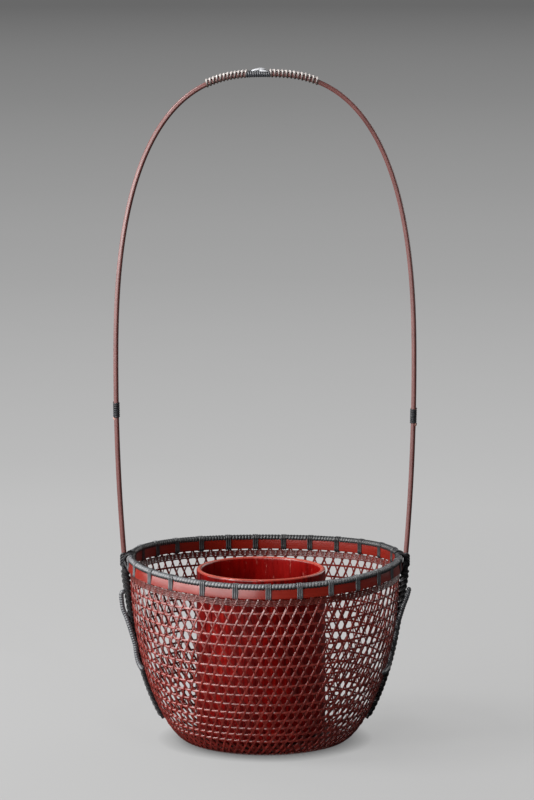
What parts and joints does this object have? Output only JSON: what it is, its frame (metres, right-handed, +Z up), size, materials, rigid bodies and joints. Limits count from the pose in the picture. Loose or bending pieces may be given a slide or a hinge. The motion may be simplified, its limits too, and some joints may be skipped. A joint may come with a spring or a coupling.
{
  "type": "ikebana basket",
  "caption": "Round open-weave bamboo flower basket with a tall arched handle, a bound rim, side ears and a lacquered water tube that lifts out.",
  "frame": {"origin": "on the floor under the middle of the basket's body", "axes": "+Z up, +X along the handle's span to the right seen from the front, -Y towards the front"},
  "size_m": [0.2659, 0.241, 0.5908],
  "materials": {
    "smoked_bamboo": "red-brown lacquer over split bamboo, satin",
    "rim_bamboo": "red-brown lacquer over flat bamboo, gloss",
    "handle_bamboo": "smoked and waxed bamboo rod, satin",
    "dark_rattan": "black-dyed rattan peel, satin",
    "pale_rattan": "glossy rattan peel",
    "red_lacquer": "clear red lacquer over bamboo, high gloss"
  },
  "bodies": {
    "basket": {"right_leaning_strips": "smoked_bamboo", "left_leaning_strips": "smoked_bamboo", "weave_hoop_01": "smoked_bamboo", "weave_hoop_02": "smoked_bamboo", "weave_hoop_03": "smoked_bamboo", "weave_hoop_04": "smoked_bamboo", "weave_hoop_05": "smoked_bamboo", "weave_hoop_06": "smoked_bamboo", "weave_hoop_07": "smoked_bamboo", "weave_hoop_08": "smoked_bamboo", "weave_hoop_09": "smoked_bamboo", "weave_hoop_10": "smoked_bamboo", "weave_hoop_11": "smoked_bamboo", "weave_hoop_12": "smoked_bamboo", "weave_hoop_13": "smoked_bamboo", "weave_hoop_14": "smoked_bamboo", "weave_hoop_15": "smoked_bamboo", "base_mat": "smoked_bamboo", "foot_hoop": "smoked_bamboo", "front_batten": "rim_bamboo", "middle_batten": "rim_bamboo", "back_batten": "rim_bamboo", "inner_rim_band": "rim_bamboo", "outer_rim_band": "rim_bamboo", "rim_core": "rim_bamboo", "rim_wrap": "dark_rattan", "handle_arch": "handle_bamboo", "left_stem": "handle_bamboo", "right_stem": "handle_bamboo", "left_joint_binding": "dark_rattan", "right_joint_binding": "dark_rattan", "left_rim_lashing": "dark_rattan", "right_rim_lashing": "dark_rattan", "left_rib_lashing": "dark_rattan", "right_rib_lashing": "dark_rattan", "left_ear": "dark_rattan", "right_ear": "dark_rattan", "grip_spine": "dark_rattan", "knot_binding": "dark_rattan", "left_grip_winding": "dark_rattan", "right_grip_winding": "dark_rattan", "knot": "pale_rattan"},
    "tube": {"water_tube": "red_lacquer"}
  },
  "joints": [
    {"name": "tube_lift", "type": "slide", "parent": "basket", "child": "tube", "axis": [0, 0, 1], "range_m": [0, 0.18]}
  ]
}
